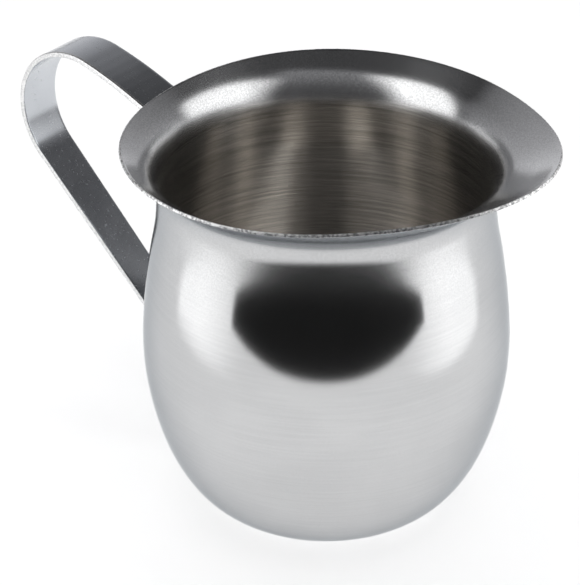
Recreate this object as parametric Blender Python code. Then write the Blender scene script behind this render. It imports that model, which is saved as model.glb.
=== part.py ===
"""Stainless cream jug: one drawn bell-shaped body with a pouring lip, one bent strap handle, four spot welds.

Metres, +Z up. The origin is the middle of the flat base, the lip points to +X and the handle to -X.
"""

import math

import bmesh
import bpy

MM = 0.001

# Body: one sheet, drawn. The outline is the outer face, as (radius, height) control points of a cubic B-spline.
SHEET = 0.5 * MM
BASE_FLAT_RADIUS = 12.0 * MM
NECK_RADIUS = 27.9 * MM
NECK_HEIGHT = 58.5 * MM
BODY_OUTLINE = [
    (BASE_FLAT_RADIUS, 0.0),
    (16.5 * MM, 0.0),
    (21.5 * MM, 1.2 * MM),
    (27.2 * MM, 9.5 * MM),
    (30.2 * MM, 20.2 * MM),
    (31.5 * MM, 31.2 * MM),
    (29.0 * MM, 49.5 * MM),
    (NECK_RADIUS, 52.7 * MM),
    (NECK_RADIUS, NECK_HEIGHT),
]
BODY_STATIONS = 17

# Flange: it bends out of the neck and runs on as a cone up to the rim.
FLANGE_CORNER_HEIGHT = 62.6 * MM
FLANGE_BEND_REACH = 4.1 * MM
BEND_STATIONS = 6
CONE_STATIONS = 2
RIM_RADIUS = 34.1 * MM
RIM_HEIGHT = 66.9 * MM

# Lip: the rim is pulled out and up at +X, and drawn in a little at the handle.
LIP_REACH = 7.0 * MM
LIP_RISE = 3.9 * MM
LIP_NARROWNESS = 9.8
LIP_RISE_NARROWNESS = 5.3
HEEL_TUCK = 1.8 * MM
SECTORS = 64

# Strap handle: one flat strip in the plane y = 0. Corners are (distance from the axis, height) on its middle line.
STRAP_THICKNESS = 0.9 * MM
STRAP_TOP_WIDTH = 9.4 * MM
STRAP_FOOT_WIDTH = 6.6 * MM
STRAP_END_RADIUS = 2.6 * MM
FOOT_GAP = 0.6 * MM
UPPER_FOOT = (49.5 * MM, 56.5 * MM)
LOWER_FOOT = (9.0 * MM, 15.5 * MM)
UPPER_LEG = ((36.5 * MM, 63.35 * MM), 22.0)
ARCH = ((48.9 * MM, 67.48 * MM), 13.7)
OUTER_BEND = ((61.84 * MM, 63.26 * MM), -49.7)
LOWER_LEG = ((61.1 * MM, 46.55 * MM), -135.4)
FOOT_BEND_RADIUS = 2.5 * MM
HEEL_BEND_RADIUS = 6.0 * MM
ARCH_RADIUS = 75.0 * MM
OUTER_BEND_RADIUS = 12.6 * MM
BEND_STEP = math.radians(9.0)

# Spot welds: two nuggets between each foot and the body.
WELD_DIAMETER = 3.0 * MM
WELD_THICKNESS = 0.3 * MM
WELD_PITCH = 3.6 * MM
WELD_SIDES = 24


def clear_scene():
    for obj in list(bpy.data.objects):
        bpy.data.objects.remove(obj, do_unlink=True)


def steel(name, shade, roughness):
    """A plain stainless steel of one shade."""
    material = bpy.data.materials.new(name)
    material.use_nodes = True
    shader = material.node_tree.nodes["Principled BSDF"]
    shader.inputs["Base Color"].default_value = (shade, shade, shade, 1.0)
    shader.inputs["Metallic"].default_value = 1.0
    shader.inputs["Roughness"].default_value = roughness
    return material


def make_object(name, bm, material):
    """Close the bmesh into an object with its faces pointing out."""
    bmesh.ops.recalc_face_normals(bm, faces=bm.faces)
    mesh = bpy.data.meshes.new(name)
    bm.to_mesh(mesh)
    bm.free()
    mesh.shade_smooth()
    mesh.set_sharp_from_angle(angle=math.radians(35.0))
    mesh.materials.append(material)
    obj = bpy.data.objects.new(name, mesh)
    bpy.context.scene.collection.objects.link(obj)
    return obj


# ---------------------------------------------------------------- body


def b_spline(points, share):
    """A point of the clamped cubic B-spline at a share from 0 to 1 of its parameter."""
    degree = 3
    spans = len(points) - degree
    knots = [0.0] * degree + [i / spans for i in range(spans + 1)] + [1.0] * degree
    span = degree + min(int(share * spans), spans - 1)
    work = [points[span - degree + i] for i in range(degree + 1)]
    for level in range(1, degree + 1):
        for i in range(degree, level - 1, -1):
            low = knots[span - degree + i]
            high = knots[span + i + 1 - level]
            mix = (share - low) / (high - low)
            work[i] = tuple(a + (b - a) * mix for a, b in zip(work[i - 1], work[i]))
    return work[degree]


def wall_radius(height):
    """Outer radius of the body at a height between the base and the neck."""
    low, high = 0.0, 1.0
    for _ in range(40):
        middle = (low + high) / 2
        if b_spline(BODY_OUTLINE, middle)[1] < height:
            low = middle
        else:
            high = middle
    return b_spline(BODY_OUTLINE, low)[0]


def peak(angle, narrowness):
    """1 at the given direction, falling smoothly to 0 at the opposite one."""
    return ((1.0 + math.cos(angle)) / 2.0) ** narrowness


def rim_point(angle):
    lip = LIP_REACH * peak(angle, LIP_NARROWNESS)
    tuck = HEEL_TUCK * peak(angle + math.pi, LIP_NARROWNESS)
    rise = LIP_RISE * peak(angle, LIP_RISE_NARROWNESS)
    return RIM_RADIUS + lip - tuck, RIM_HEIGHT + rise


def outer_section(angle):
    """The outer face from the edge of the flat base to the rim, in the half plane at an angle."""
    section = [b_spline(BODY_OUTLINE, i / BODY_STATIONS) for i in range(BODY_STATIONS + 1)]
    rim = rim_point(angle)
    corner = (NECK_RADIUS, FLANGE_CORNER_HEIGHT)
    run = math.dist(corner, rim)
    share = FLANGE_BEND_REACH / run
    bend_end = tuple(c + (r - c) * share for c, r in zip(corner, rim))
    for i in range(1, BEND_STATIONS + 1):
        t = i / BEND_STATIONS
        weights = ((1 - t) ** 2, 2 * t * (1 - t), t * t)
        knots = ((NECK_RADIUS, NECK_HEIGHT), corner, bend_end)
        section.append(tuple(sum(w * k[axis] for w, k in zip(weights, knots)) for axis in (0, 1)))
    for i in range(1, CONE_STATIONS + 1):
        t = i / CONE_STATIONS
        section.append(tuple(a + (b - a) * t for a, b in zip(bend_end, rim)))
    return section


def inner_section(section):
    """The same line one sheet further in, square to the outer face."""
    moved = []
    last = len(section) - 1
    for i, (radius, height) in enumerate(section):
        before = section[max(i - 1, 0)]
        after = section[min(i + 1, last)]
        along = (after[0] - before[0], after[1] - before[1])
        length = math.hypot(*along)
        if i == 0:
            moved.append((radius, height + SHEET))
        else:
            moved.append((radius - along[1] / length * SHEET, height + along[0] / length * SHEET))
    return moved


def make_body():
    bm = bmesh.new()
    rings = []
    for sector in range(SECTORS):
        angle = 2 * math.pi * sector / SECTORS
        outer = outer_section(angle)
        line = outer + inner_section(outer)[::-1]
        rings.append([
            bm.verts.new((radius * math.cos(angle), radius * math.sin(angle), height))
            for radius, height in line
        ])
    under = bm.verts.new((0.0, 0.0, 0.0))
    inside = bm.verts.new((0.0, 0.0, SHEET))
    for sector in range(SECTORS):
        ring = rings[sector]
        following = rings[(sector + 1) % SECTORS]
        for i in range(len(ring) - 1):
            bm.faces.new((ring[i], following[i], following[i + 1], ring[i + 1]))
        bm.faces.new((under, following[0], ring[0]))
        bm.faces.new((inside, ring[-1], following[-1]))
    return make_object("body", bm, steel("body_steel", 0.62, 0.28))


# ---------------------------------------------------------------- handle


def heading(degrees):
    return math.cos(math.radians(degrees)), math.sin(math.radians(degrees))


def meet(first, second):
    """Where two lines cross, each given as (point, direction)."""
    (p, d), (q, e) = first, second
    cross = d[0] * e[1] - d[1] * e[0]
    share = ((q[0] - p[0]) * e[1] - (q[1] - p[1]) * e[0]) / cross
    return p[0] + d[0] * share, p[1] + d[1] * share


def foot_line(foot):
    """The middle line of a strap foot: it lies along the wall, clear of it by the foot gap."""
    low, high = foot
    stand_off = FOOT_GAP + STRAP_THICKNESS / 2
    lean = math.atan2(wall_radius(high) - wall_radius(low), high - low)
    middle = (low + high) / 2
    wall = max(wall_radius(middle), (wall_radius(low) + wall_radius(high)) / 2)
    centre = (wall + stand_off * math.cos(lean), middle - stand_off * math.sin(lean))
    return centre, (math.sin(lean), math.cos(lean))


def along_foot(foot, height):
    centre, way = foot_line(foot)
    share = (height - centre[1]) / way[1]
    return centre[0] + way[0] * share, height


def strap_corners():
    """The strap's middle line as a chain of corners, each with the radius of its bend."""
    upper_leg = (UPPER_LEG[0], heading(UPPER_LEG[1]))
    arch = (ARCH[0], heading(ARCH[1]))
    outer = (OUTER_BEND[0], heading(OUTER_BEND[1]))
    lower_leg = (LOWER_LEG[0], heading(LOWER_LEG[1]))
    return [
        (along_foot(UPPER_FOOT, UPPER_FOOT[0]), 0.0),
        (meet(foot_line(UPPER_FOOT), upper_leg), FOOT_BEND_RADIUS),
        (meet(upper_leg, arch), ARCH_RADIUS),
        (meet(arch, outer), OUTER_BEND_RADIUS),
        (meet(outer, lower_leg), OUTER_BEND_RADIUS),
        (meet(lower_leg, foot_line(LOWER_FOOT)), HEEL_BEND_RADIUS),
        (along_foot(LOWER_FOOT, LOWER_FOOT[0]), 0.0),
    ]


def rounded_line(corners):
    """The chain of corners with each bend as an arc, as a list of (point, direction)."""
    points = [corner for corner, _ in corners]
    ways = []
    for a, b in zip(points, points[1:]):
        length = math.dist(a, b)
        ways.append(((b[0] - a[0]) / length, (b[1] - a[1]) / length))
    line = [(points[0], ways[0])]
    for i in range(1, len(points) - 1):
        before, after = ways[i - 1], ways[i]
        turn = math.atan2(before[0] * after[1] - before[1] * after[0], before[0] * after[0] + before[1] * after[1])
        radius = corners[i][1]
        back = radius * math.tan(abs(turn) / 2)
        side = math.copysign(1.0, turn)
        start = (points[i][0] - before[0] * back, points[i][1] - before[1] * back)
        centre = (start[0] - before[1] * radius * side, start[1] + before[0] * radius * side)
        steps = max(2, math.ceil(abs(turn) / BEND_STEP))
        for step in range(steps + 1):
            angle = math.atan2(before[1], before[0]) + turn * step / steps
            way = (math.cos(angle), math.sin(angle))
            place = (centre[0] + way[1] * radius * side, centre[1] - way[0] * radius * side)
            line.append((place, way))
    line.append((points[-1], ways[-1]))
    return line


def with_round_ends(line):
    """Adds the stations on which the strip's ends narrow, and gives every station its distance along the strip."""
    stations = []
    travelled = 0.0
    for i, (place, way) in enumerate(line):
        if i:
            travelled += math.dist(place, line[i - 1][0])
        stations.append((travelled, place, way))
    total = travelled
    steps = 5
    insets = [STRAP_END_RADIUS * (1 - math.cos(math.pi / 2 * i / steps)) for i in range(1, steps + 1)]
    head, tail = stations[0], stations[-1]
    start = [(s, (head[1][0] + head[2][0] * s, head[1][1] + head[2][1] * s), head[2]) for s in insets]
    end = [
        (total - s, (tail[1][0] - tail[2][0] * s, tail[1][1] - tail[2][1] * s), tail[2])
        for s in reversed(insets)
    ]
    return [head] + start + stations[1:-1] + end + [tail], total


def half_width(distance, total):
    """Half the strip's width: it tapers evenly, and its ends have round corners."""
    share = distance / total
    full = (STRAP_TOP_WIDTH + (STRAP_FOOT_WIDTH - STRAP_TOP_WIDTH) * share) / 2
    inset = min(distance, total - distance)
    if inset >= STRAP_END_RADIUS:
        return full
    missing = STRAP_END_RADIUS - inset
    return full - STRAP_END_RADIUS + math.sqrt(max(STRAP_END_RADIUS**2 - missing**2, 0.0))


def make_handle():
    stations, total = with_round_ends(rounded_line(strap_corners()))
    bm = bmesh.new()
    loops = []
    for distance, (out, height), way in stations:
        half = half_width(distance, total)
        normal = (-way[1] * STRAP_THICKNESS / 2, way[0] * STRAP_THICKNESS / 2)
        loop = []
        for side, face in ((-1, -1), (1, -1), (1, 1), (-1, 1)):
            loop.append(bm.verts.new((-(out + normal[0] * face), side * half, height + normal[1] * face)))
        loops.append(loop)
    for first, second in zip(loops, loops[1:]):
        for i in range(4):
            j = (i + 1) % 4
            bm.faces.new((first[i], first[j], second[j], second[i]))
    bm.faces.new(loops[0][::-1])
    bm.faces.new(loops[-1])
    return make_object("strap_handle", bm, steel("strap_steel", 0.55, 0.25))


# ---------------------------------------------------------------- welds


def make_weld(name, foot, offset):
    """A round nugget in the gap between a foot and the wall, offset from the foot's middle."""
    centre, way = foot_line(foot)
    inward = (-way[1], way[0])
    depth = STRAP_THICKNESS / 2 + FOOT_GAP / 2
    out = centre[0] + inward[0] * depth + way[0] * offset
    height = centre[1] + inward[1] * depth + way[1] * offset
    bm = bmesh.new()
    bmesh.ops.create_cone(
        bm, cap_ends=True, segments=WELD_SIDES, radius1=WELD_DIAMETER / 2, radius2=WELD_DIAMETER / 2,
        depth=WELD_THICKNESS,
    )
    weld = make_object(name, bm, steel(name + "_steel", 0.4, 0.5))
    weld.location = (-out, 0.0, height)
    weld.rotation_euler = (0.0, math.atan2(way[1], way[0]), 0.0)
    return weld


def make_welds():
    for place, foot in (("upper", UPPER_FOOT), ("lower", LOWER_FOOT)):
        make_weld(f"{place}_weld_top", foot, WELD_PITCH / 2)
        make_weld(f"{place}_weld_bottom", foot, -WELD_PITCH / 2)


clear_scene()
make_body()
make_handle()
make_welds()
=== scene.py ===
"""Looks of the stainless cream jug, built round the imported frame.

Metres, +Z up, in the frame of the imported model: the origin is in the middle of the flat base,
the lip points to +X and the handle to -X.
"""

import math

import bmesh
import bpy
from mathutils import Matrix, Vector


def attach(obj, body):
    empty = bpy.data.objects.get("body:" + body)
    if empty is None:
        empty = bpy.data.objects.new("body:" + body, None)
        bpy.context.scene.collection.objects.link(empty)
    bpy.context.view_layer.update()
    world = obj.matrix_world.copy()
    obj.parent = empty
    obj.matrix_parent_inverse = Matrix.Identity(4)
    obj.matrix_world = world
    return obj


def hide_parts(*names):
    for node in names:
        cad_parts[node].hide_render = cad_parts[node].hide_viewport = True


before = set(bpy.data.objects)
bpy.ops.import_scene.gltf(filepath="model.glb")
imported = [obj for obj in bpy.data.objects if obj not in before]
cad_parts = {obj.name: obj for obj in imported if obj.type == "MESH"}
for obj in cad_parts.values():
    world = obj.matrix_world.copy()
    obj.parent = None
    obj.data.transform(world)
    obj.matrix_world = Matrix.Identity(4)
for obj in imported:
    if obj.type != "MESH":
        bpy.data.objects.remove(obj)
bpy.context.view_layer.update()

MM = 0.001

# ---------------------------------------------------------------- dimensions, the same as the CAD's

SHEET = 0.5 * MM
BASE_FLAT_RADIUS = 12.0 * MM
NECK_RADIUS = 27.9 * MM
NECK_HEIGHT = 58.5 * MM
BODY_OUTLINE = [
    (BASE_FLAT_RADIUS, 0.0),
    (16.5 * MM, 0.0),
    (21.5 * MM, 1.2 * MM),
    (27.2 * MM, 9.5 * MM),
    (30.2 * MM, 20.2 * MM),
    (31.5 * MM, 31.2 * MM),
    (29.0 * MM, 49.5 * MM),
    (NECK_RADIUS, 52.7 * MM),
    (NECK_RADIUS, NECK_HEIGHT),
]
FLANGE_CORNER_HEIGHT = 62.6 * MM
FLANGE_BEND_REACH = 4.1 * MM
RIM_RADIUS = 34.1 * MM
RIM_HEIGHT = 66.9 * MM
LIP_REACH = 7.0 * MM
LIP_RISE = 3.9 * MM
LIP_NARROWNESS = 9.8
LIP_RISE_NARROWNESS = 5.3
HEEL_TUCK = 1.8 * MM

STRAP_THICKNESS = 0.9 * MM
STRAP_TOP_WIDTH = 9.4 * MM
STRAP_FOOT_WIDTH = 6.6 * MM
STRAP_END_RADIUS = 2.6 * MM
FOOT_GAP = 0.6 * MM
UPPER_FOOT = (49.5 * MM, 56.5 * MM)
LOWER_FOOT = (9.0 * MM, 15.5 * MM)
UPPER_LEG = ((36.5 * MM, 63.35 * MM), 22.0)
ARCH = ((48.9 * MM, 67.48 * MM), 13.7)
OUTER_BEND = ((61.84 * MM, 63.26 * MM), -49.7)
LOWER_LEG = ((61.1 * MM, 46.55 * MM), -135.4)
FOOT_BEND_RADIUS = 2.5 * MM
HEEL_BEND_RADIUS = 6.0 * MM
ARCH_RADIUS = 75.0 * MM
OUTER_BEND_RADIUS = 12.6 * MM

WELD_DIAMETER = 3.0 * MM
WELD_PITCH = 3.6 * MM
# The weld mark's face from its edge inwards: radius as a share of the diameter, and height as a
# share of how far it stands proud.
WELD_FACE = ((0.5, 0.0), (0.48, 0.7), (0.44, 1.0), (0.38, 0.6), (0.28, 0.25), (0.14, 0.2))

# ---------------------------------------------------------------- fineness of the visible meshes

WALL_HALVINGS = 40
SECTORS = 264
BODY_STATIONS = 70
BEND_STATIONS = 14
CONE_STATIONS = 8
EDGE_ROUND = 0.12 * MM
EDGE_STATIONS = 8
BASE_RINGS = 8
STRAP_STEP = 0.35 * MM
BEND_STEP = math.radians(1.5)
STRAP_END_STATIONS = 10
STRAP_CORNER = 0.14 * MM
CORNER_STEPS = 3
CORNER_POINTS = CORNER_STEPS + 1
ACROSS_STATIONS = 22
FOOT_CLEARANCE = 0.03 * MM
FOOT_FADE = 0.5
WELD_SIDES = 48
WELD_PROUD = 0.06 * MM


# ---------------------------------------------------------------- body


def b_spline(points, share):
    """A point of the clamped cubic B-spline at a share from 0 to 1 of its parameter."""
    degree = 3
    spans = len(points) - degree
    knots = [0.0] * degree + [i / spans for i in range(spans + 1)] + [1.0] * degree
    span = degree + min(int(share * spans), spans - 1)
    work = [points[span - degree + i] for i in range(degree + 1)]
    for level in range(1, degree + 1):
        for i in range(degree, level - 1, -1):
            low = knots[span - degree + i]
            high = knots[span + i + 1 - level]
            mix = (share - low) / (high - low)
            work[i] = tuple(a + (b - a) * mix for a, b in zip(work[i - 1], work[i]))
    return work[degree]


def wall_radius(height):
    """Outer radius of the body at a height between the base and the neck."""
    low, high = 0.0, 1.0
    for _ in range(WALL_HALVINGS):
        middle = (low + high) / 2
        if b_spline(BODY_OUTLINE, middle)[1] < height:
            low = middle
        else:
            high = middle
    return b_spline(BODY_OUTLINE, low)[0]


def peak(angle, narrowness):
    """1 at angle 0, falling smoothly to 0 at the opposite angle."""
    return ((1.0 + math.cos(angle)) / 2.0) ** narrowness


def rim_point(angle):
    """The rim's radius and height: longer and higher at the lip, a little tucked in over the handle."""
    lip = LIP_REACH * peak(angle, LIP_NARROWNESS)
    tuck = HEEL_TUCK * peak(angle + math.pi, LIP_NARROWNESS)
    rise = LIP_RISE * peak(angle, LIP_RISE_NARROWNESS)
    return RIM_RADIUS + lip - tuck, RIM_HEIGHT + rise


WALL_LINE = [b_spline(BODY_OUTLINE, i / BODY_STATIONS) for i in range(BODY_STATIONS + 1)]


def outer_section(angle):
    """The outer face in the half plane at an angle, from the flat base's edge to just short of the rim."""
    section = list(WALL_LINE)
    rim = rim_point(angle)
    corner = (NECK_RADIUS, FLANGE_CORNER_HEIGHT)
    run = math.dist(corner, rim)
    bend_end = tuple(c + (r - c) * FLANGE_BEND_REACH / run for c, r in zip(corner, rim))
    knots = ((NECK_RADIUS, NECK_HEIGHT), corner, bend_end)
    for i in range(1, BEND_STATIONS + 1):
        t = i / BEND_STATIONS
        weights = ((1 - t) ** 2, 2 * t * (1 - t), t * t)
        section.append(tuple(sum(w * k[axis] for w, k in zip(weights, knots)) for axis in (0, 1)))
    stop = 1.0 - EDGE_ROUND / math.dist(bend_end, rim)
    for i in range(1, CONE_STATIONS + 1):
        t = stop * i / CONE_STATIONS
        section.append(tuple(a + (b - a) * t for a, b in zip(bend_end, rim)))
    return section


def inner_section(section):
    """The same line one sheet further in, square to the outer face."""
    moved = []
    last = len(section) - 1
    for i, (radius, height) in enumerate(section):
        before = section[max(i - 1, 0)]
        after = section[min(i + 1, last)]
        along = (after[0] - before[0], after[1] - before[1])
        length = math.hypot(*along)
        if i == 0:
            moved.append((radius, height + SHEET))
        else:
            moved.append((radius - along[1] / length * SHEET, height + along[0] / length * SHEET))
    return moved


def edge_section(outer, inner):
    """The cut edge of the rim: flat across the sheet with both corners rounded."""
    along = (outer[-1][0] - outer[-2][0], outer[-1][1] - outer[-2][1])
    length = math.hypot(*along)
    along = (along[0] / length, along[1] / length)
    corner_share = EDGE_ROUND / SHEET
    points = []
    for i in range(1, EDGE_STATIONS):
        share = (1 - math.cos(math.pi * i / EDGE_STATIONS)) / 2
        from_corner = min(share, 1 - share)
        missing = max(0.0, 1 - from_corner / corner_share)
        forward = EDGE_ROUND * math.sqrt(1 - missing * missing)
        points.append(tuple(
            a + (b - a) * share + way * forward for a, b, way in zip(outer[-1], inner[-1], along)
        ))
    return points


SATIN, BRUSHED, CUT = 0, 1, 2


def make_body(materials):
    """The drawn and spun body: one closed sheet.

    Its float attribute "flange" is 0 up to the top of the neck and rises to 1 at the rim.
    """
    bm = bmesh.new()
    flange = bm.verts.layers.float.new("flange")
    rings = []
    for sector in range(SECTORS):
        angle = 2 * math.pi * sector / SECTORS
        outer = outer_section(angle)
        inner = inner_section(outer)
        edge = edge_section(outer, inner)
        base = [(BASE_FLAT_RADIUS * i / BASE_RINGS, 0.0) for i in range(1, BASE_RINGS)]
        floor = [(BASE_FLAT_RADIUS * i / BASE_RINGS, SHEET) for i in range(BASE_RINGS - 1, 0, -1)]
        line = base + outer + edge + inner[::-1] + floor
        bend_start = len(base) + BODY_STATIONS
        steps = len(outer) - 1 - BODY_STATIONS
        ring = []
        for i, (radius, height) in enumerate(line):
            vert = bm.verts.new((radius * math.cos(angle), radius * math.sin(angle), height))
            mirrored = min(i, len(base) + len(outer) + len(edge) + len(inner) - 1 - (i - len(base)))
            vert[flange] = min(max((mirrored - bend_start) / steps, 0.0), 1.0)
            ring.append(vert)
        rings.append(ring)
    first_edge = BASE_RINGS - 1 + len(outer) - 1
    last_edge = first_edge + len(edge)
    under = bm.verts.new((0.0, 0.0, 0.0))
    inside = bm.verts.new((0.0, 0.0, SHEET))
    for sector in range(SECTORS):
        ring = rings[sector]
        following = rings[(sector + 1) % SECTORS]
        for i in range(len(ring) - 1):
            face = bm.faces.new((ring[i], following[i], following[i + 1], ring[i + 1]))
            face.material_index = SATIN if i < first_edge else CUT if i <= last_edge else BRUSHED
        bm.faces.new((under, following[0], ring[0])).material_index = SATIN
        bm.faces.new((inside, ring[-1], following[-1])).material_index = BRUSHED
    return finish_mesh("jug_body", bm, materials)


def finish_mesh(name, bm, materials):
    bmesh.ops.recalc_face_normals(bm, faces=bm.faces)
    mesh = bpy.data.meshes.new(name)
    bm.to_mesh(mesh)
    bm.free()
    mesh.shade_smooth()
    for material in materials:
        mesh.materials.append(material)
    obj = bpy.data.objects.new(name, mesh)
    bpy.context.scene.collection.objects.link(obj)
    return obj


# ---------------------------------------------------------------- strap handle


def heading(degrees):
    return math.cos(math.radians(degrees)), math.sin(math.radians(degrees))


def meet(first, second):
    """Where two lines cross, each given as (point, direction)."""
    (p, d), (q, e) = first, second
    cross = d[0] * e[1] - d[1] * e[0]
    share = ((q[0] - p[0]) * e[1] - (q[1] - p[1]) * e[0]) / cross
    return p[0] + d[0] * share, p[1] + d[1] * share


def foot_line(foot):
    """The middle line of a strap foot, along the wall and off it by the gap and half the strip."""
    low, high = foot
    stand_off = FOOT_GAP + STRAP_THICKNESS / 2
    lean = math.atan2(wall_radius(high) - wall_radius(low), high - low)
    middle = (low + high) / 2
    wall = max(wall_radius(middle), (wall_radius(low) + wall_radius(high)) / 2)
    centre = (wall + stand_off * math.cos(lean), middle - stand_off * math.sin(lean))
    return centre, (math.sin(lean), math.cos(lean))


def along_foot(foot, height):
    centre, way = foot_line(foot)
    share = (height - centre[1]) / way[1]
    return centre[0] + way[0] * share, height


def strap_corners():
    """The strap's middle line as a chain of corners, each with the radius of its bend."""
    upper_leg = (UPPER_LEG[0], heading(UPPER_LEG[1]))
    arch = (ARCH[0], heading(ARCH[1]))
    outer = (OUTER_BEND[0], heading(OUTER_BEND[1]))
    lower_leg = (LOWER_LEG[0], heading(LOWER_LEG[1]))
    return [
        (along_foot(UPPER_FOOT, UPPER_FOOT[0]), 0.0),
        (meet(foot_line(UPPER_FOOT), upper_leg), FOOT_BEND_RADIUS),
        (meet(upper_leg, arch), ARCH_RADIUS),
        (meet(arch, outer), OUTER_BEND_RADIUS),
        (meet(outer, lower_leg), OUTER_BEND_RADIUS),
        (meet(lower_leg, foot_line(LOWER_FOOT)), HEEL_BEND_RADIUS),
        (along_foot(LOWER_FOOT, LOWER_FOOT[0]), 0.0),
    ]


def rounded_line(corners):
    """The chain of corners with each bend as an arc, as a list of (point, direction)."""
    points = [corner for corner, _ in corners]
    ways = []
    for a, b in zip(points, points[1:]):
        length = math.dist(a, b)
        ways.append(((b[0] - a[0]) / length, (b[1] - a[1]) / length))
    line = [(points[0], ways[0])]
    for i in range(1, len(points) - 1):
        before, after = ways[i - 1], ways[i]
        crossed = before[0] * after[1] - before[1] * after[0]
        aligned = before[0] * after[0] + before[1] * after[1]
        turn = math.atan2(crossed, aligned)
        radius = corners[i][1]
        back = radius * math.tan(abs(turn) / 2)
        side = math.copysign(1.0, turn)
        start = (points[i][0] - before[0] * back, points[i][1] - before[1] * back)
        centre = (start[0] - before[1] * radius * side, start[1] + before[0] * radius * side)
        steps = max(2, math.ceil(abs(turn) / BEND_STEP))
        for step in range(steps + 1):
            angle = math.atan2(before[1], before[0]) + turn * step / steps
            way = (math.cos(angle), math.sin(angle))
            place = (centre[0] + way[1] * radius * side, centre[1] - way[0] * radius * side)
            line.append((place, way))
    line.append((points[-1], ways[-1]))
    return line


def evenly(line):
    """The line as stations (distance, point, direction) at even steps, with closer ones at its round ends."""
    marks = [0.0]
    for (a, _), (b, _) in zip(line, line[1:]):
        marks.append(marks[-1] + math.dist(a, b))
    total = marks[-1]
    turns = [math.pi / 2 * i / STRAP_END_STATIONS for i in range(STRAP_END_STATIONS + 1)]
    insets = [STRAP_END_RADIUS * (1 - math.cos(turn)) for turn in turns]
    count = round((total - 2 * STRAP_END_RADIUS) / STRAP_STEP)
    middle = [STRAP_END_RADIUS + (total - 2 * STRAP_END_RADIUS) * i / count for i in range(1, count)]
    wanted = insets + middle + [total - s for s in reversed(insets)]
    stations = []
    i = 0
    for distance in wanted:
        while i < len(line) - 2 and marks[i + 1] < distance:
            i += 1
        share = (distance - marks[i]) / (marks[i + 1] - marks[i])
        (a, way_a), (b, way_b) = line[i], line[i + 1]
        place = (a[0] + (b[0] - a[0]) * share, a[1] + (b[1] - a[1]) * share)
        way = (way_a[0] + (way_b[0] - way_a[0]) * share, way_a[1] + (way_b[1] - way_a[1]) * share)
        length = math.hypot(*way)
        stations.append((distance, place, (way[0] / length, way[1] / length)))
    return stations, total


def half_width(distance, total):
    """Half the strip's width: it tapers evenly, and its ends have round corners."""
    share = distance / total
    full = (STRAP_TOP_WIDTH + (STRAP_FOOT_WIDTH - STRAP_TOP_WIDTH) * share) / 2
    inset = min(distance, total - distance)
    if inset >= STRAP_END_RADIUS:
        return full
    missing = STRAP_END_RADIUS - inset
    return full - STRAP_END_RADIUS + math.sqrt(max(STRAP_END_RADIUS**2 - missing**2, 0.0))


def smooth(share):
    share = min(max(share, 0.0), 1.0)
    return share * share * (3 - 2 * share)


def strap_profile(half):
    """The strip's cross-section as (across, through) points, with small round corners."""
    flat = half - STRAP_CORNER
    rise = STRAP_THICKNESS / 2 - STRAP_CORNER
    profile = []
    corners = ((flat, -rise, -90), (flat, rise, 0), (-flat, rise, 90), (-flat, -rise, 180))
    for corner_across, corner_through, start in corners:
        for step in range(CORNER_POINTS):
            angle = math.radians(start + 90 * step / CORNER_STEPS)
            profile.append((
                corner_across + STRAP_CORNER * math.cos(angle),
                corner_through + STRAP_CORNER * math.sin(angle),
            ))
        if start in (0, 180):
            side = 1 if start == 0 else -1
            for step in range(1, ACROSS_STATIONS):
                across = side * flat * (1 - 2 * step / ACROSS_STATIONS)
                profile.append((across, side * STRAP_THICKNESS / 2))
    return profile


STRIP_FACE, STRIP_EDGE = 0, 1


def make_handle(materials):
    """The bent strip. Its feet are curved to the wall and lie just clear of it.

    The attributes "travel" and "across" are a point's distances along the strip and from its middle.
    """
    stations, total = evenly(rounded_line(strap_corners()))
    bm = bmesh.new()
    travel = bm.verts.layers.float.new("travel")
    across_layer = bm.verts.layers.float.new("across")
    foot_length = UPPER_FOOT[1] - UPPER_FOOT[0]
    close_by = FOOT_GAP - FOOT_CLEARANCE
    loops = []
    for distance, (out, height), way in stations:
        half = half_width(distance, total)
        past_foot = min(distance, total - distance) - foot_length
        on_foot = 1 - smooth(past_foot / (foot_length * FOOT_FADE))
        loop = []
        for across, through in strap_profile(half):
            hug = out - math.sqrt(max(out * out - across * across, 0.0))
            inward = on_foot * (hug + close_by)
            normal = (-way[1] * through, way[0] * through)
            x = -(out + normal[0] - inward)
            vert = bm.verts.new((x, across, height + normal[1]))
            vert[travel] = distance
            vert[across_layer] = across
            loop.append(vert)
        loops.append(loop)
    size = len(loops[0])
    side_faces = 2 * CORNER_POINTS - 1
    # The -Y side's cut steel starts one face early, so it laps onto the edge of the outer face.
    far_side = ACROSS_STATIONS + side_faces - 1
    for first, second in zip(loops, loops[1:]):
        for i in range(size):
            j = (i + 1) % size
            face = bm.faces.new((first[i], first[j], second[j], second[i]))
            on_side = i < side_faces or far_side <= i < far_side + side_faces
            face.material_index = STRIP_EDGE if on_side else STRIP_FACE
    bm.faces.new(loops[0][::-1]).material_index = STRIP_EDGE
    bm.faces.new(loops[-1]).material_index = STRIP_EDGE
    return finish_mesh("handle_strap", bm, materials)


# ---------------------------------------------------------------- spot welds


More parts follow.
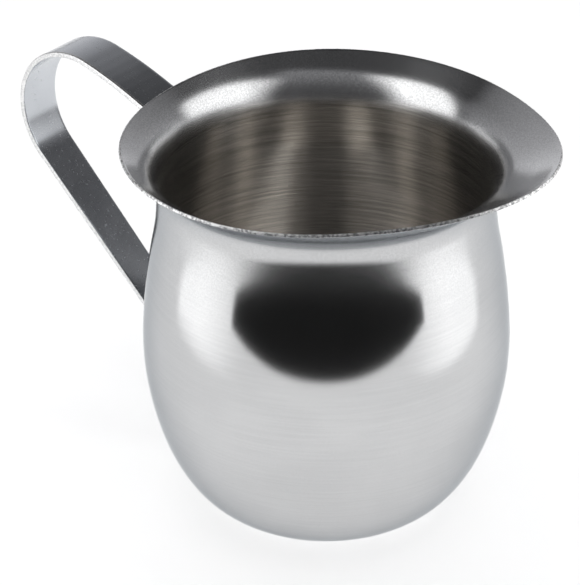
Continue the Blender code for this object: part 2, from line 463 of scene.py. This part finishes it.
def make_weld(name, foot, offset, materials):
    """A weld nugget through the foot, whose round, slightly dished end shows on the strap's outer face."""
    centre, way = foot_line(foot)
    outward = (way[1], -way[0])
    surface = STRAP_THICKNESS / 2 - (FOOT_GAP - FOOT_CLEARANCE) * outward[0]
    out = centre[0] + way[0] * offset
    height = centre[1] + way[1] * offset
    bm = bmesh.new()
    rings = []
    outline = [(WELD_DIAMETER / 2, -STRAP_THICKNESS)]
    for radius, proud in WELD_FACE:
        outline.append((WELD_DIAMETER * radius, surface + WELD_PROUD * proud))
    for radius, depth in outline:
        ring = []
        for side in range(WELD_SIDES):
            angle = 2 * math.pi * side / WELD_SIDES
            up, across = radius * math.cos(angle), radius * math.sin(angle)
            hug = out - math.sqrt(out * out - across * across)
            rho = out + outward[0] * depth + way[0] * up - hug
            ring.append(bm.verts.new((-rho, across, height + outward[1] * depth + way[1] * up)))
        rings.append(ring)
    for first, second in zip(rings, rings[1:]):
        for i in range(WELD_SIDES):
            j = (i + 1) % WELD_SIDES
            bm.faces.new((first[i], first[j], second[j], second[i]))
    bm.faces.new(rings[0][::-1])
    bm.faces.new(rings[-1])
    return finish_mesh(name, bm, materials)


# ---------------------------------------------------------------- materials


# Keeps the division by the radius safe on the axis itself.
AXIS_GUARD = 1e-8
# Streaks follow the height plus this share of the radius, so that flat parts get rings too.
RADIUS_IN_SLANT = 0.7


class Nodes:
    """Short calls for building one material's node tree."""

    def __init__(self, tree):
        self.tree = tree

    def add(self, kind, inputs=(), **settings):
        node = self.tree.nodes.new(kind)
        for key, value in settings.items():
            setattr(node, key, value)
        for key, value in dict(inputs).items():
            if isinstance(value, bpy.types.NodeSocket):
                self.tree.links.new(value, node.inputs[key])
            else:
                node.inputs[key].default_value = value
        return node

    def math(self, operation, first, second=0.0):
        return self.add("ShaderNodeMath", {0: first, 1: second}, operation=operation).outputs[0]

    def plus(self, first, second):
        return self.math("ADD", first, second)

    def times(self, first, second):
        return self.math("MULTIPLY", first, second)

    def step(self, value, low, high, to_low=0.0, to_high=1.0):
        """A smooth step as the value goes from low to high."""
        inputs = {"Value": value, "From Min": low, "From Max": high, "To Min": to_low, "To Max": to_high}
        return self.add("ShaderNodeMapRange", inputs, interpolation_type="SMOOTHSTEP").outputs[0]

    def noise(self, vector, scale, detail=2.0, roughness=0.5):
        inputs = {"Vector": vector, "Scale": scale, "Detail": detail, "Roughness": roughness}
        return self.add("ShaderNodeTexNoise", inputs).outputs["Fac"]

    def vector(self, x, y, z):
        return self.add("ShaderNodeCombineXYZ", {0: x, 1: y, 2: z}).outputs[0]

    def attribute(self, name):
        return self.add("ShaderNodeAttribute", attribute_name=name).outputs["Fac"]

    def place(self):
        return self.add("ShaderNodeTexCoord").outputs["Object"]

    def turned(self, around, along):
        """Coordinates on a turned wall: streaks run round it when around is small against along."""
        axes = self.add("ShaderNodeSeparateXYZ", {0: self.place()}).outputs
        squares = self.plus(self.times(axes[0], axes[0]), self.times(axes[1], axes[1]))
        radius = self.math("SQRT", self.plus(squares, AXIS_GUARD))
        east = self.times(self.math("DIVIDE", axes[0], radius), around)
        north = self.times(self.math("DIVIDE", axes[1], radius), around)
        slant = self.plus(axes[2], self.times(radius, RADIUS_IN_SLANT))
        return self.vector(east, north, self.times(slant, along))

    def bump(self, height, distance, strength=1.0, normal=None):
        inputs = {"Height": height, "Distance": distance, "Strength": strength}
        if normal is not None:
            inputs["Normal"] = normal
        return self.add("ShaderNodeBump", inputs).outputs[0]

    def mix_colour(self, share, first, second):
        inputs = {0: share, 6: first, 7: second}
        return self.add("ShaderNodeMix", inputs, data_type="RGBA").outputs[2]


def steel(name):
    """A metal Principled material and the short calls for its tree."""
    material = bpy.data.materials.new(name)
    material.use_nodes = True
    nodes = Nodes(material.node_tree)
    shader = material.node_tree.nodes["Principled BSDF"]
    shader.inputs["Metallic"].default_value = 1.0
    return material, nodes, shader


def join(nodes, socket, target):
    nodes.tree.links.new(socket, target)


QUARTER_TURN = 0.25


def turned_finish(nodes, shader, amount):
    """Lines that run round the Z axis spread a reflection up and down."""
    tangent = nodes.add("ShaderNodeTangent", direction_type="RADIAL", axis="Z").outputs[0]
    join(nodes, tangent, shader.inputs["Tangent"])
    shader.inputs["Anisotropic"].default_value = amount
    shader.inputs["Anisotropic Rotation"].default_value = QUARTER_TURN


# Colours of the steels, and of their reflection at a grazing angle outside.
EDGE_TINT = (0.60, 0.62, 0.64, 1.0)
STEEL = (0.610, 0.612, 0.615, 1.0)
STEEL_DARK = (0.540, 0.543, 0.548, 1.0)
STEEL_BRIGHT = (0.680, 0.683, 0.688, 1.0)
# The burr's colours are painted shade in its hollows and painted glints on its peaks.
BURR_HOLLOW_PAINTED_SHADE = (0.240, 0.240, 0.245, 1.0)
BURR_PEAK_PAINTED_GLINT = (0.800, 0.800, 0.800, 1.0)
STRAP_STEEL = (0.620, 0.640, 0.670, 1.0)
STRAP_DARK = (0.500, 0.520, 0.550, 1.0)
# The bowl's warm steel is painted brighter than the outside's: painted light that stands in for the light the
# renderer loses where it ends its paths in the bowl.
WARM_STEEL_PAINTED_BRIGHT = (0.830, 0.805, 0.772, 1.0)
WARM_STEEL_PAINTED_BRIGHT_DARK = (0.600, 0.580, 0.552, 1.0)
WELD_DARK = (0.30, 0.27, 0.24, 1.0)
WELD_STRAW = (0.52, 0.49, 0.45, 1.0)

# How far a finish's turning lines spread a reflection, from 0 to 1.
OUTSIDE_SPREAD = 0.2
INSIDE_SPREAD = 0.9
# Streaks on a turned wall: about how many there are in a radian round it and in a metre along it.
OUTSIDE_LINES = (2.0, 2400.0)
INSIDE_LINES = (1.4, 3600.0)
INSIDE_SCRATCHES = (4.0, 2000.0)
CONE_STREAKS = (160.0, 25.0)
# Grains and clouds: about how many there are in a metre.
OUTSIDE_GRAIN = 3800.0
OUTSIDE_CLOUD = 70.0
INSIDE_GRAIN = 4200.0
BURR_GRAIN = 2300.0
STRAP_SPECKS = 1900.0
STRAP_CLOUD = 160.0
WELD_CLOUD = 900.0
# Lines on the strap, in a metre along it and across it, and its slanting scratches likewise.
STRAP_LINES = (120.0, 2600.0)
STRAP_SLANT = (900.0, 1500.0)
STRAP_SLANT_BREAKS = 90.0
# The part of a noise's range over which its pattern sets in.
SHADE_BAND = (0.3, 0.7)
GRAIN_BAND = (0.36, 0.64)
BURR_BAND = (0.38, 0.6)
SCRATCH_BAND = (0.62, 0.74)
SPECK_BAND = (0.66, 0.74)
CROSS_SCRATCH_BAND = (0.72, 0.80)
# Outside, the grain and the satin grow between these heights; the grain's share grows by so much.
GRAIN_HEIGHTS = (42.0 * MM, 62.0 * MM)
GRAIN_SHARES = (0.12, 0.6)
SATIN_HEIGHTS = (46.0 * MM, 60.0 * MM)
# Places on the flange, from 0 at the neck to 1 at the rim, over which the bowl's finish ends, its
# metal gets full, and the cone's begins, and how ragged the streaks make the cone's beginning.
BOWL_END = (0.02, 0.3)
FULL_METAL = (0.0, 0.25)
CONE_START = (0.42, 0.64)
CONE_RAGGED = 0.22
# Roughness, and the weight of the pattern added to it.
SATIN_LOW_ROUGH = 0.07
SATIN_HIGH_ROUGH = 0.18
SATIN_UNEVEN = 0.04
BRUSHED_ROUGH = 0.15
BRUSHED_UNEVEN = 0.07
CONE_ROUGH = 0.13
EDGE_ROUGH = 0.28
EDGE_UNEVEN = 0.16
STRAP_ROUGH = 0.16
STRAP_CLOUD_ROUGH = 0.08
STRAP_MARK_ROUGH = 0.12
WELD_ROUGH = 0.36
WELD_UNEVEN = 0.20
# Depths of the fine relief.
OUTSIDE_LINE_DEPTH = 0.0004 * MM
GRAIN_DEPTH = 0.004 * MM
GRAIN_STRENGTH = 0.35
INSIDE_LINE_DEPTH = 0.005 * MM
CONE_STREAK_DEPTH = 0.004 * MM
BURR_DEPTH = 0.03 * MM
STRAP_LINE_DEPTH = 0.001 * MM
STRAP_MARK_DEPTH = 0.003 * MM
WELD_RELIEF = 0.02 * MM
# A little non-metal in the bowl brightens its deepest corners, where the renderer ends its paths.
BOWL_METALLIC = 0.993


def satin_outside():
    """The outside: satin with faint turning lines, a little cloudy, and finely grained below the rim."""
    material, nodes, shader = steel("satin_steel")
    turned_finish(nodes, shader, OUTSIDE_SPREAD)
    shader.inputs["Specular Tint"].default_value = EDGE_TINT
    lines = nodes.noise(nodes.turned(*OUTSIDE_LINES), 1.0, detail=3.0, roughness=0.6)
    grain = nodes.noise(nodes.place(), OUTSIDE_GRAIN, detail=2.0, roughness=0.6)
    cloud = nodes.noise(nodes.place(), OUTSIDE_CLOUD, detail=2.0)
    half_and_half = nodes.plus(nodes.times(lines, 0.5), nodes.times(cloud, 0.5))
    shade = nodes.step(half_and_half, *SHADE_BAND)
    height = nodes.add("ShaderNodeSeparateXYZ", {0: nodes.place()}).outputs[2]
    near_rim = nodes.step(height, *GRAIN_HEIGHTS, *GRAIN_SHARES)
    speckle = nodes.mix_colour(nodes.step(grain, *GRAIN_BAND), STEEL_DARK, STEEL_BRIGHT)
    plain = nodes.mix_colour(shade, STEEL_DARK, STEEL)
    join(nodes, nodes.mix_colour(near_rim, plain, speckle), shader.inputs["Base Color"])
    satin = nodes.step(height, *SATIN_HEIGHTS, SATIN_LOW_ROUGH, SATIN_HIGH_ROUGH)
    rough = nodes.plus(satin, nodes.times(nodes.plus(grain, cloud), SATIN_UNEVEN))
    join(nodes, rough, shader.inputs["Roughness"])
    rings = nodes.bump(lines, OUTSIDE_LINE_DEPTH, strength=1.0)
    join(nodes, nodes.bump(grain, GRAIN_DEPTH, GRAIN_STRENGTH, rings), shader.inputs["Normal"])
    return material


def brushed_inside():
    """The bowl has turned scratches; the flange's cone is smoother, with a streaky radial grain."""
    material, nodes, shader = steel("brushed_steel_inside")
    turned_finish(nodes, shader, INSIDE_SPREAD)
    metallic = nodes.step(nodes.attribute("flange"), *FULL_METAL, BOWL_METALLIC, 1.0)
    join(nodes, metallic, shader.inputs["Metallic"])
    flange = nodes.attribute("flange")
    radial = nodes.noise(nodes.turned(*CONE_STREAKS), 1.0, detail=3.0, roughness=0.65)
    ragged = nodes.plus(flange, nodes.times(nodes.math("SUBTRACT", radial, 0.5), CONE_RAGGED))
    cone = nodes.step(ragged, *CONE_START)
    inside = nodes.step(flange, *BOWL_END, 1.0, 0.0)
    fine = nodes.noise(nodes.turned(*INSIDE_LINES), 1.0, detail=3.0, roughness=0.7)
    coarse = nodes.noise(nodes.turned(*INSIDE_SCRATCHES), 1.0, detail=2.0, roughness=0.7)
    scratches = nodes.step(coarse, *SCRATCH_BAND)
    grain = nodes.noise(nodes.place(), INSIDE_GRAIN, detail=2.0, roughness=0.6)
    # The bowl's colour is warm steel painted brighter, as painted light for the bowl's lost deep reflections.
    warm_painted_bright = nodes.mix_colour(nodes.step(fine, *GRAIN_BAND), WARM_STEEL_PAINTED_BRIGHT_DARK, WARM_STEEL_PAINTED_BRIGHT)
    grainy = nodes.mix_colour(nodes.step(grain, *GRAIN_BAND), STEEL_DARK, STEEL_BRIGHT)
    join(nodes, nodes.mix_colour(inside, grainy, warm_painted_bright), shader.inputs["Base Color"])
    satin_rough = nodes.plus(BRUSHED_ROUGH, nodes.times(fine, BRUSHED_UNEVEN))
    inputs = {0: cone, 2: satin_rough, 3: CONE_ROUGH}
    rough = nodes.add("ShaderNodeMix", inputs, data_type="FLOAT").outputs[0]
    join(nodes, rough, shader.inputs["Roughness"])
    turned = nodes.plus(nodes.times(fine, 0.5), scratches)
    lines = nodes.bump(nodes.times(turned, inside), INSIDE_LINE_DEPTH, strength=1.0)
    streaks = nodes.bump(radial, CONE_STREAK_DEPTH, 0.5, lines)
    join(nodes, nodes.bump(grain, GRAIN_DEPTH, GRAIN_STRENGTH, streaks), shader.inputs["Normal"])
    return material


def cut_edge(name, painted_hollow_shade):
    """A sheared edge: rougher than the faces, with a fine burr whose hollows carry painted shade as dark as
    given and whose peaks carry painted glints.
    """
    material, nodes, shader = steel(name)
    burr = nodes.noise(nodes.place(), BURR_GRAIN, detail=3.0, roughness=0.7)
    # The burr's hollows get painted shade and its peaks painted glints.
    colour = nodes.mix_colour(nodes.step(burr, *BURR_BAND), painted_hollow_shade, BURR_PEAK_PAINTED_GLINT)
    join(nodes, colour, shader.inputs["Base Color"])
    rough = nodes.plus(EDGE_ROUGH, nodes.times(burr, EDGE_UNEVEN))
    join(nodes, rough, shader.inputs["Roughness"])
    join(nodes, nodes.bump(burr, BURR_DEPTH, strength=0.5), shader.inputs["Normal"])
    return material


def strap_face():
    """The strip's faces: rolled steel with fine lengthwise lines, specks and a few cross scratches."""
    material, nodes, shader = steel("strap_steel")
    travel = nodes.attribute("travel")
    across = nodes.attribute("across")
    lengthwise = nodes.vector(nodes.times(travel, STRAP_LINES[0]), nodes.times(across, STRAP_LINES[1]), 0.0)
    rolled = nodes.noise(lengthwise, 1.0, detail=2.0, roughness=0.6)
    specks = nodes.step(nodes.noise(nodes.place(), STRAP_SPECKS, detail=1.0), *SPECK_BAND)
    cloud = nodes.noise(nodes.place(), STRAP_CLOUD, detail=2.0)
    slanted = nodes.plus(nodes.times(travel, STRAP_SLANT[0]), nodes.times(across, STRAP_SLANT[1]))
    crosswise = nodes.vector(slanted, nodes.times(across, STRAP_SLANT_BREAKS), 3.0)
    scratches = nodes.step(nodes.noise(crosswise, 1.0, detail=1.0), *CROSS_SCRATCH_BAND)
    join(nodes, nodes.mix_colour(cloud, STRAP_DARK, STRAP_STEEL), shader.inputs["Base Color"])
    marks = nodes.plus(specks, nodes.times(scratches, 0.7))
    uneven = nodes.plus(nodes.times(cloud, STRAP_CLOUD_ROUGH), nodes.times(marks, STRAP_MARK_ROUGH))
    join(nodes, nodes.plus(uneven, STRAP_ROUGH), shader.inputs["Roughness"])
    lines = nodes.bump(rolled, STRAP_LINE_DEPTH, strength=0.7)
    join(nodes, nodes.bump(marks, STRAP_MARK_DEPTH, GRAIN_STRENGTH, lines), shader.inputs["Normal"])
    return material


def weld_steel():
    """A spot weld's face: dull, darkened and a little straw-coloured in patches."""
    material, nodes, shader = steel("weld_steel")
    cloud = nodes.noise(nodes.place(), WELD_CLOUD, detail=3.0, roughness=0.6)
    join(nodes, nodes.mix_colour(cloud, WELD_DARK, WELD_STRAW), shader.inputs["Base Color"])
    rough = nodes.plus(WELD_ROUGH, nodes.times(cloud, WELD_UNEVEN))
    join(nodes, rough, shader.inputs["Roughness"])
    join(nodes, nodes.bump(cloud, WELD_RELIEF, strength=0.5), shader.inputs["Normal"])
    return material


# ---------------------------------------------------------------- pieces

body = make_body([satin_outside(), brushed_inside(), cut_edge("cut_rim_edge", BURR_HOLLOW_PAINTED_SHADE)])
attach(body, "root")
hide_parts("body")

handle = make_handle([strap_face(), cut_edge("cut_strap_edge", STEEL)])
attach(handle, "root")
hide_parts("strap_handle")

welded = weld_steel()
for place, foot in (("upper", UPPER_FOOT), ("lower", LOWER_FOOT)):
    for end, offset in (("top", WELD_PITCH / 2), ("bottom", -WELD_PITCH / 2)):
        weld = make_weld(f"{place}_weld_mark_{end}", foot, offset, [welded])
        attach(weld, "root")
        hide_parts(f"{place}_weld_{end}")

# ---------------------------------------------------------------- camera

CAMERA_AZIMUTH = math.radians(38.0)
CAMERA_ELEVATION = math.radians(31.0)
AIM_HEIGHT = 31.0 * MM
CAMERA_DISTANCE = 465.0 * MM
IMAGE_SIZE = (580, 585)
FOCAL_PIXELS = 2755.3
OPTICAL_CENTRE = (326.4, 329.3)
SENSOR = 36.0

to_camera = Vector((
    math.sin(CAMERA_AZIMUTH) * math.cos(CAMERA_ELEVATION),
    -math.cos(CAMERA_AZIMUTH) * math.cos(CAMERA_ELEVATION),
    math.sin(CAMERA_ELEVATION),
))
FRONT = Vector((math.sin(CAMERA_AZIMUTH), -math.cos(CAMERA_AZIMUTH), 0.0))
RIGHT = Vector((math.cos(CAMERA_AZIMUTH), math.sin(CAMERA_AZIMUTH), 0.0))


def make_camera():
    lens = bpy.data.cameras.new("camera")
    lens.sensor_width = SENSOR
    long_side = max(IMAGE_SIZE)
    lens.lens = FOCAL_PIXELS * SENSOR / long_side
    lens.shift_x = (IMAGE_SIZE[0] / 2 - OPTICAL_CENTRE[0]) / long_side
    lens.shift_y = (OPTICAL_CENTRE[1] - IMAGE_SIZE[1] / 2) / long_side
    camera = bpy.data.objects.new("camera", lens)
    camera.location = Vector((0.0, 0.0, AIM_HEIGHT)) + to_camera * CAMERA_DISTANCE
    camera.rotation_euler = (-to_camera).to_track_quat("-Z", "Y").to_euler()
    bpy.context.scene.collection.objects.link(camera)
    bpy.context.scene.camera = camera


make_camera()

# ---------------------------------------------------------------- studio


# Each card has a near and a far end, each with a low and a high corner in millimetres: in front of
# the jug, to the right of it and up, as the camera sees it. Then come its emission, and the shares
# of it that fade at its near end, far end, foot and head.
CARDS = {
    "front_flag": (
        ((60, -77, 28), (60, -77, 72)),
        ((60, 85, 28), (60, 85, 72)),
        0.014, (0.03, 0.03, 0.05, 0.10),
    ),
    "left_soft_light": (
        ((-19, -137, -8), (-56, -126, 215)),
        ((95, -90, -8), (118, -62, 400)),
        1.6, (0.12, 0.60, 0.05, 0.10),
    ),
    "right_soft_light": (
        ((-23, 131, -8), (-70, 112, 128)),
        ((105, 88, -8), (118, 70, 270)),
        1.6, (0.12, 0.58, 0.05, 0.10),
    ),
    "left_light_core": (
        ((12, -124, 110), (12, -124, 220)),
        ((68, -104, 120), (68, -104, 262)),
        9.0, (0.3, 0.3, 0.3, 0.3),
    ),
    "right_light_core": (
        ((-6, 122, 84), (-6, 122, 140)),
        ((58, 108, 84), (58, 108, 178)),
        9.0, (0.3, 0.3, 0.3, 0.3),
    ),
}
FLOOR_REACH = 2.5
FLOOR_LEVEL = -0.02 * MM
PAPER = (0.86, 0.86, 0.86, 1.0)
PAPER_ROUGH = 0.9
OVERHEAD_HEIGHT = 1.1
OVERHEAD_SIZE = 1.1
WASH_POWER = 4.5
FILL_POWER = 14.0
WHITE = (1.0, 1.0, 1.0, 1.0)
BLACK = (0.0, 0.0, 0.0, 1.0)


def place_of(front, right, height):
    """A studio place from millimetres in front of the jug, to the right of it, and up."""
    return FRONT * front * MM + RIGHT * right * MM + Vector((0.0, 0.0, height * MM))


def make_panel(name, near, far, emission, fades):
    """A flat card or soft light, which shows in reflections only."""
    corners = (near[0], far[0], far[1], near[1])
    mesh = bpy.data.meshes.new(name)
    mesh.from_pydata([tuple(place_of(*corner)) for corner in corners], [], [(0, 1, 2, 3)])
    layer = mesh.uv_layers.new(name="panel")
    for loop, corner in zip(layer.data, ((0, 0), (1, 0), (1, 1), (0, 1))):
        loop.uv = corner
    panel = bpy.data.objects.new(name, mesh)
    bpy.context.scene.collection.objects.link(panel)
    material = bpy.data.materials.new(name)
    material.use_nodes = True
    tree = material.node_tree
    tree.nodes.clear()
    nodes = Nodes(tree)
    uv = nodes.add("ShaderNodeSeparateXYZ", {0: nodes.add("ShaderNodeTexCoord").outputs["UV"]}).outputs
    covers = 1.0
    for axis, (start, end) in enumerate((fades[:2], fades[2:])):
        covers = nodes.times(nodes.step(uv[axis], 0.0, start), covers)
        covers = nodes.times(nodes.step(uv[axis], 1.0 - end, 1.0, 1.0, 0.0), covers)
    light = nodes.add("ShaderNodeEmission", {"Color": WHITE, "Strength": emission}).outputs[0]
    clear = nodes.add("ShaderNodeBsdfTransparent").outputs[0]
    shown = nodes.add("ShaderNodeMixShader", {0: covers, 1: clear, 2: light}).outputs[0]
    nodes.add("ShaderNodeOutputMaterial", {"Surface": shown})
    mesh.materials.append(material)
    panel.visible_camera = False
    panel.visible_diffuse = False
    panel.visible_shadow = False


def make_floor():
    mesh = bpy.data.meshes.new("floor")
    ways = ((-1, -1), (1, -1), (1, 1), (-1, 1))
    corners = [(x * FLOOR_REACH, y * FLOOR_REACH, FLOOR_LEVEL) for x, y in ways]
    mesh.from_pydata(corners, [], [(0, 1, 2, 3)])
    floor = bpy.data.objects.new("floor", mesh)
    bpy.context.scene.collection.objects.link(floor)
    paper = bpy.data.materials.new("pale_paper")
    paper.use_nodes = True
    shader = paper.node_tree.nodes["Principled BSDF"]
    shader.inputs["Base Color"].default_value = PAPER
    shader.inputs["Roughness"].default_value = PAPER_ROUGH
    shader.inputs["Specular IOR Level"].default_value = 0.0
    mesh.materials.append(paper)


def make_overhead_lights():
    """A wide lamp overhead, and a copy of it that casts no shadow. Neither shows in reflections."""
    wash = bpy.data.lights.new("overhead_wash", "AREA")
    wash.shape = "DISK"
    wash.size = OVERHEAD_SIZE
    wash.energy = WASH_POWER
    fill = wash.copy()
    fill.name = "overhead_fill"
    fill.use_shadow = False
    fill.energy = FILL_POWER
    for light in (wash, fill):
        lamp = bpy.data.objects.new(light.name, light)
        lamp.location = (0.0, 0.0, OVERHEAD_HEIGHT)
        lamp.visible_glossy = False
        lamp.visible_camera = False
        bpy.context.scene.collection.objects.link(lamp)


# What the room shows on the camera's side of the jug, beside the jug and behind it: grey levels at
# heights in degrees above the horizon.
AHEAD = ((0, 0.07), (25, 0.09), (35, 0.12), (45, 0.18), (55, 0.24), (68, 0.31), (75, 0.066))
BESIDE = ((0, 0.34), (35, 0.18), (50, 0.13), (75, 0.066))
BEHIND = (
    (0, 0.54), (15, 0.43), (25, 0.34), (35, 0.27), (43, 0.20), (50, 0.06), (62, 0.08), (80, 0.066),
)
# The greys are a little blue.
BLUE_GAIN = 1.03
# Towards the sides the ramps are read from higher up; the sine of the height gains this much there.
RISE_TO_SIDES = 0.25
# One part of the room fades into the next between these shares of a level direction: the first
# towards the camera, and below 0 away from it, and the second towards either side.
BEHIND_FADE = (-0.42, -0.12)
BESIDE_FADE = (0.6, 0.92)
# Straight behind the jug the room is brighter, and has a dark slot above.
BEHIND_LIFT = 1.5
LIFT_FADE = (0.1, 0.45)
SLOT_SINES = (0.70, 0.79)
SLOT_FADE = (0.35, 0.7)
SLOT_DARKNESS = 0.95
FLAT_GUARD = 1e-4


def make_world():
    """The room: pale and low behind the jug, grey in front, dark overhead."""
    world = bpy.data.worlds.new("room")
    world.use_nodes = True
    tree = world.node_tree
    tree.nodes.clear()
    nodes = Nodes(tree)
    way = nodes.add("ShaderNodeTexCoord").outputs["Generated"]
    up = nodes.add("ShaderNodeSeparateXYZ", {0: way}).outputs[2]

    def along(direction):
        inputs = {0: way, 1: tuple(direction)}
        return nodes.add("ShaderNodeVectorMath", inputs, operation="DOT_PRODUCT").outputs["Value"]

    front = along(FRONT)
    side = along(RIGHT)
    flat_square = nodes.math("MAXIMUM", nodes.math("SUBTRACT", 1.0, nodes.times(up, up)), FLAT_GUARD)
    flat = nodes.math("SQRT", flat_square)
    ahead_share = nodes.math("DIVIDE", front, flat)
    side_share = nodes.math("ABSOLUTE", nodes.math("DIVIDE", side, flat))
    level = nodes.plus(up, nodes.times(nodes.times(side, side), RISE_TO_SIDES))

    def ramp(stops):
        made = nodes.add("ShaderNodeValToRGB", {0: level})
        elements = made.color_ramp.elements
        while len(elements) < len(stops):
            elements.new(0.5)
        for element, (degrees, value) in zip(elements, stops):
            element.position = math.sin(math.radians(degrees))
            element.color = (value, value, value * BLUE_GAIN, 1.0)
        return made.outputs[0]

    ahead = ramp(AHEAD)
    beside = ramp(BESIDE)
    behind = ramp(BEHIND)
    lifted = nodes.step(side_share, *LIFT_FADE, BEHIND_LIFT, 1.0)
    inputs = {0: behind, 1: nodes.vector(lifted, lifted, lifted)}
    behind = nodes.add("ShaderNodeVectorMath", inputs, operation="MULTIPLY").outputs[0]
    slot_middle = nodes.step(side_share, *SLOT_FADE, SLOT_DARKNESS, 0.0)
    slot = nodes.times(nodes.step(up, *SLOT_SINES), slot_middle)
    behind = nodes.mix_colour(slot, behind, BLACK)
    colour = nodes.mix_colour(nodes.step(side_share, *BESIDE_FADE), ahead, beside)
    colour = nodes.mix_colour(nodes.step(ahead_share, *BEHIND_FADE, 1.0, 0.0), colour, behind)
    background = nodes.add("ShaderNodeBackground", {"Color": colour, "Strength": 1.0}).outputs[0]
    nodes.add("ShaderNodeOutputWorld", {"Surface": background})
    bpy.context.scene.world = world


for card, settings in CARDS.items():
    make_panel(card, *settings)
make_floor()
make_overhead_lights()
make_world()
bpy.context.scene.view_settings.view_transform = "Standard"
